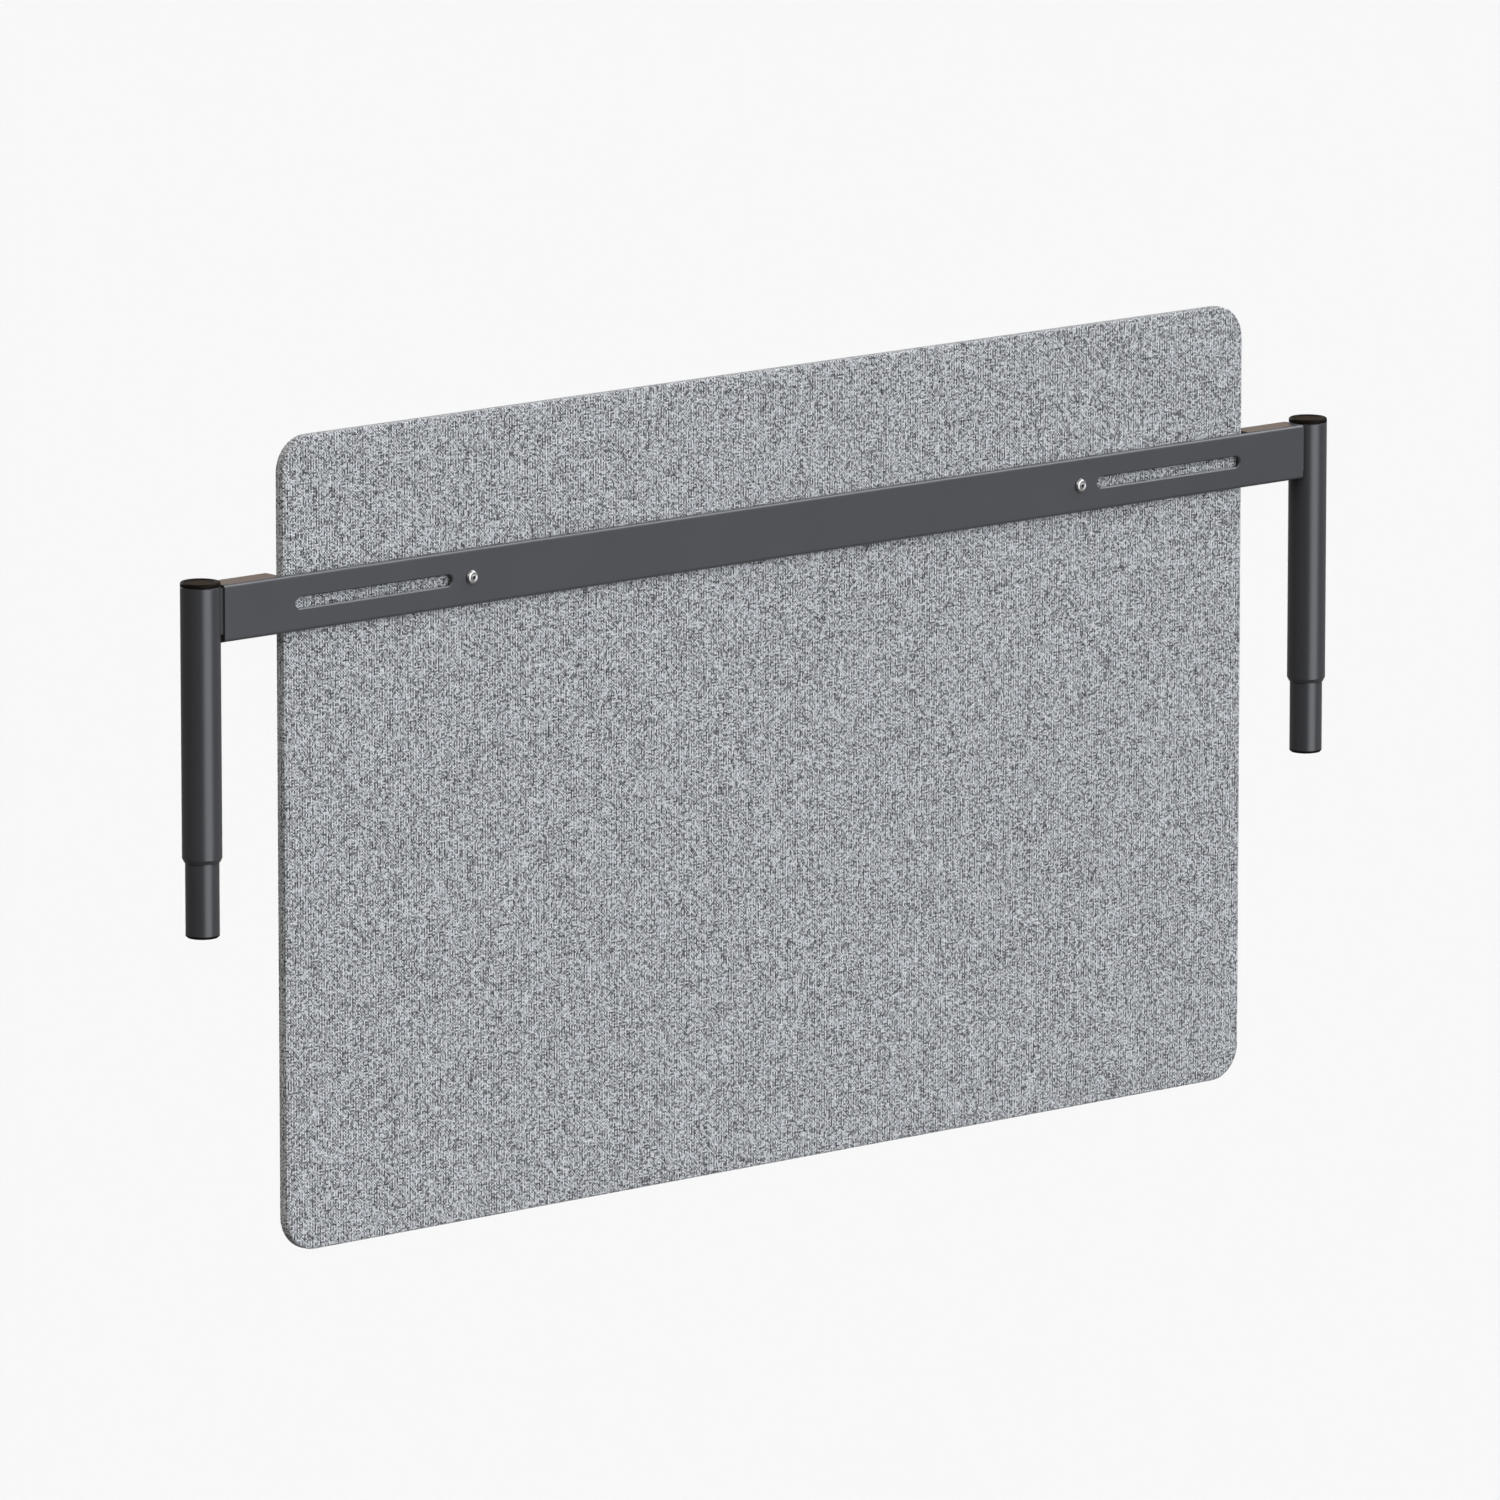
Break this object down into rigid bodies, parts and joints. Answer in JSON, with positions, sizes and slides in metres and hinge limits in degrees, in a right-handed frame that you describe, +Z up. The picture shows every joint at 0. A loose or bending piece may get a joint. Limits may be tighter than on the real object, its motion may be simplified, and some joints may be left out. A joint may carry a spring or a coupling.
{
  "type": "desk privacy panel",
  "caption": "Fabric-wrapped privacy panel on a slotted steel rail between two height-adjustable round posts whose lower tubes plug into the desk.",
  "frame": {"origin": "midway between the two post axes, in the plane of the outer tubes' lower lips, which stand on the desk sockets", "axes": "+X along the rail, from the left post to the right one seen from the rail's side; +Y away from the rail's front face; +Z up along the posts"},
  "size_m": [1.068, 0.0291, 0.575],
  "materials": {
    "cover_fabric": "heathered plain weave",
    "board_core": "fibreboard",
    "powder_coat": "satin powder coat",
    "powder_coat_lower": "satin powder coat",
    "cap_plastic": "matt moulded",
    "guide_plastic": "matt moulded",
    "screw_steel": "bright zinc plated",
    "zinc": "zinc plated",
    "black_steel": "black oxide"
  },
  "bodies": {
    "lower_tubes": {"lower_tube_left": "powder_coat_lower", "lower_tube_right": "powder_coat_lower", "slide_glide_left": "guide_plastic", "slide_glide_right": "guide_plastic", "end_plug_left": "cap_plastic", "end_plug_right": "cap_plastic"},
    "screen": {"panel_board": "board_core", "fabric_front": "cover_fabric", "fabric_back": "cover_fabric", "rail": "powder_coat", "rail_studs": "zinc", "stud_nuts": "zinc", "post_tube_left": "powder_coat", "post_tube_right": "powder_coat", "guide_bushing_left": "guide_plastic", "guide_bushing_right": "guide_plastic", "top_cap_left": "cap_plastic", "top_cap_right": "cap_plastic", "lock_insert_left": "zinc", "lock_insert_right": "zinc", "lock_screw_left": "black_steel", "lock_screw_right": "black_steel", "connector_left": "powder_coat", "connector_right": "powder_coat", "end_pad_left": "cap_plastic", "end_pad_right": "cap_plastic", "threaded_insert_left": "zinc", "threaded_insert_right": "zinc", "spacer_left": "cap_plastic", "spacer_right": "cap_plastic", "panel_screw_left": "screw_steel", "panel_screw_right": "screw_steel"}
  },
  "joints": [
    {"name": "height_adjust", "type": "slide", "parent": "lower_tubes", "child": "screen", "axis": [0, 0, 1], "range_m": [0, 0.1]}
  ]
}
